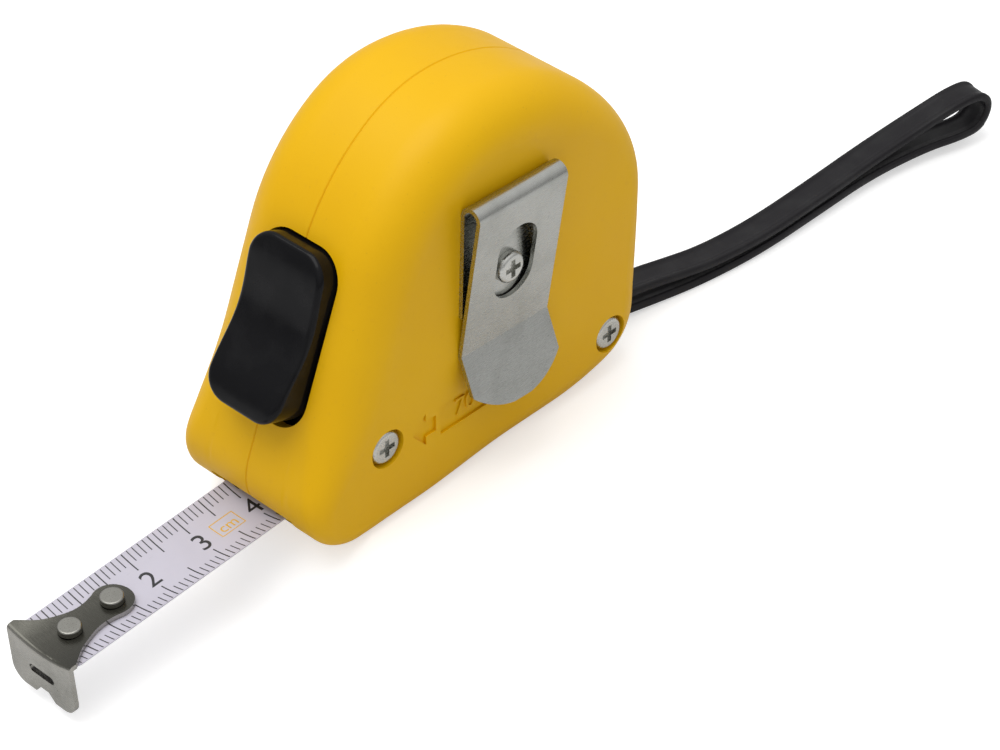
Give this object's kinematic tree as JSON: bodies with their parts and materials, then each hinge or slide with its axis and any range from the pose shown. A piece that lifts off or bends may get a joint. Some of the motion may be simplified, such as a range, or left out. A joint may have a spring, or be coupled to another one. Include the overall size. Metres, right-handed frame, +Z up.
{
  "type": "pocket tape measure",
  "caption": "Pocket tape measure with a spring-return steel blade, sliding true-zero end hook, front lock button, belt clip and looped wrist strap.",
  "frame": {"origin": "on the base plane, in the middle plane of the case, under the foremost point of its front", "axes": "+X forward along the blade, +Y to the belt clip's side, +Z up"},
  "size_m": [0.194, 0.0344, 0.068],
  "materials": {
    "case": "satin moulded ABS",
    "lock": "gloss",
    "brake": "matt",
    "blade": "satin lacquer",
    "hook": "nickel plated, satin",
    "rivet": "nickel plated",
    "clip": "bright zinc plated",
    "screw": "bright zinc plated",
    "reel": "matt moulded",
    "arbor": "matt moulded",
    "spring_steel": "blued spring steel",
    "strap": "satin moulded PVC"
  },
  "bodies": {
    "case": {"case_left": "case", "case_right": "case", "front_screw": "screw", "rear_screw": "screw", "clip_screw": "screw", "belt_clip": "clip", "arbor": "arbor", "return_spring": "spring_steel", "lock_spring": "spring_steel", "strap_anchor": "strap", "wrist_strap": "strap"},
    "lock": {"lock_button": "lock", "brake_shoe": "brake"},
    "blade": {"blade": "blade", "hook_rivet_front": "rivet", "hook_rivet_rear": "rivet"},
    "hook": {"end_hook": "hook"},
    "reel": {"reel": "reel", "reel_cover": "reel", "blade_coil": "blade"}
  },
  "joints": [
    {"name": "blade_slide", "type": "slide", "parent": "case", "child": "blade", "axis": [0.9983, 0, -0.0576], "range_m": [-0.0386, 0.012]},
    {"name": "hook_play", "type": "slide", "parent": "blade", "child": "hook", "axis": [0.9983, 0, -0.0576], "range_m": [-0.0004, 0.0004]},
    {"name": "reel_spin", "type": "hinge", "parent": "case", "child": "reel", "pos_m": [-0.038, 0, 0.0345], "axis": [0, -1, 0], "range_deg": [-110, 35]},
    {"name": "lock_slide", "type": "slide", "parent": "case", "child": "lock", "axis": [-0.3714, 0, 0.9285], "range_m": [-0.0011, 0]}
  ],
  "couplings": [
    {"joint": "reel_spin", "follows": "blade_slide", "rad_per_m": 48.077}
  ]
}
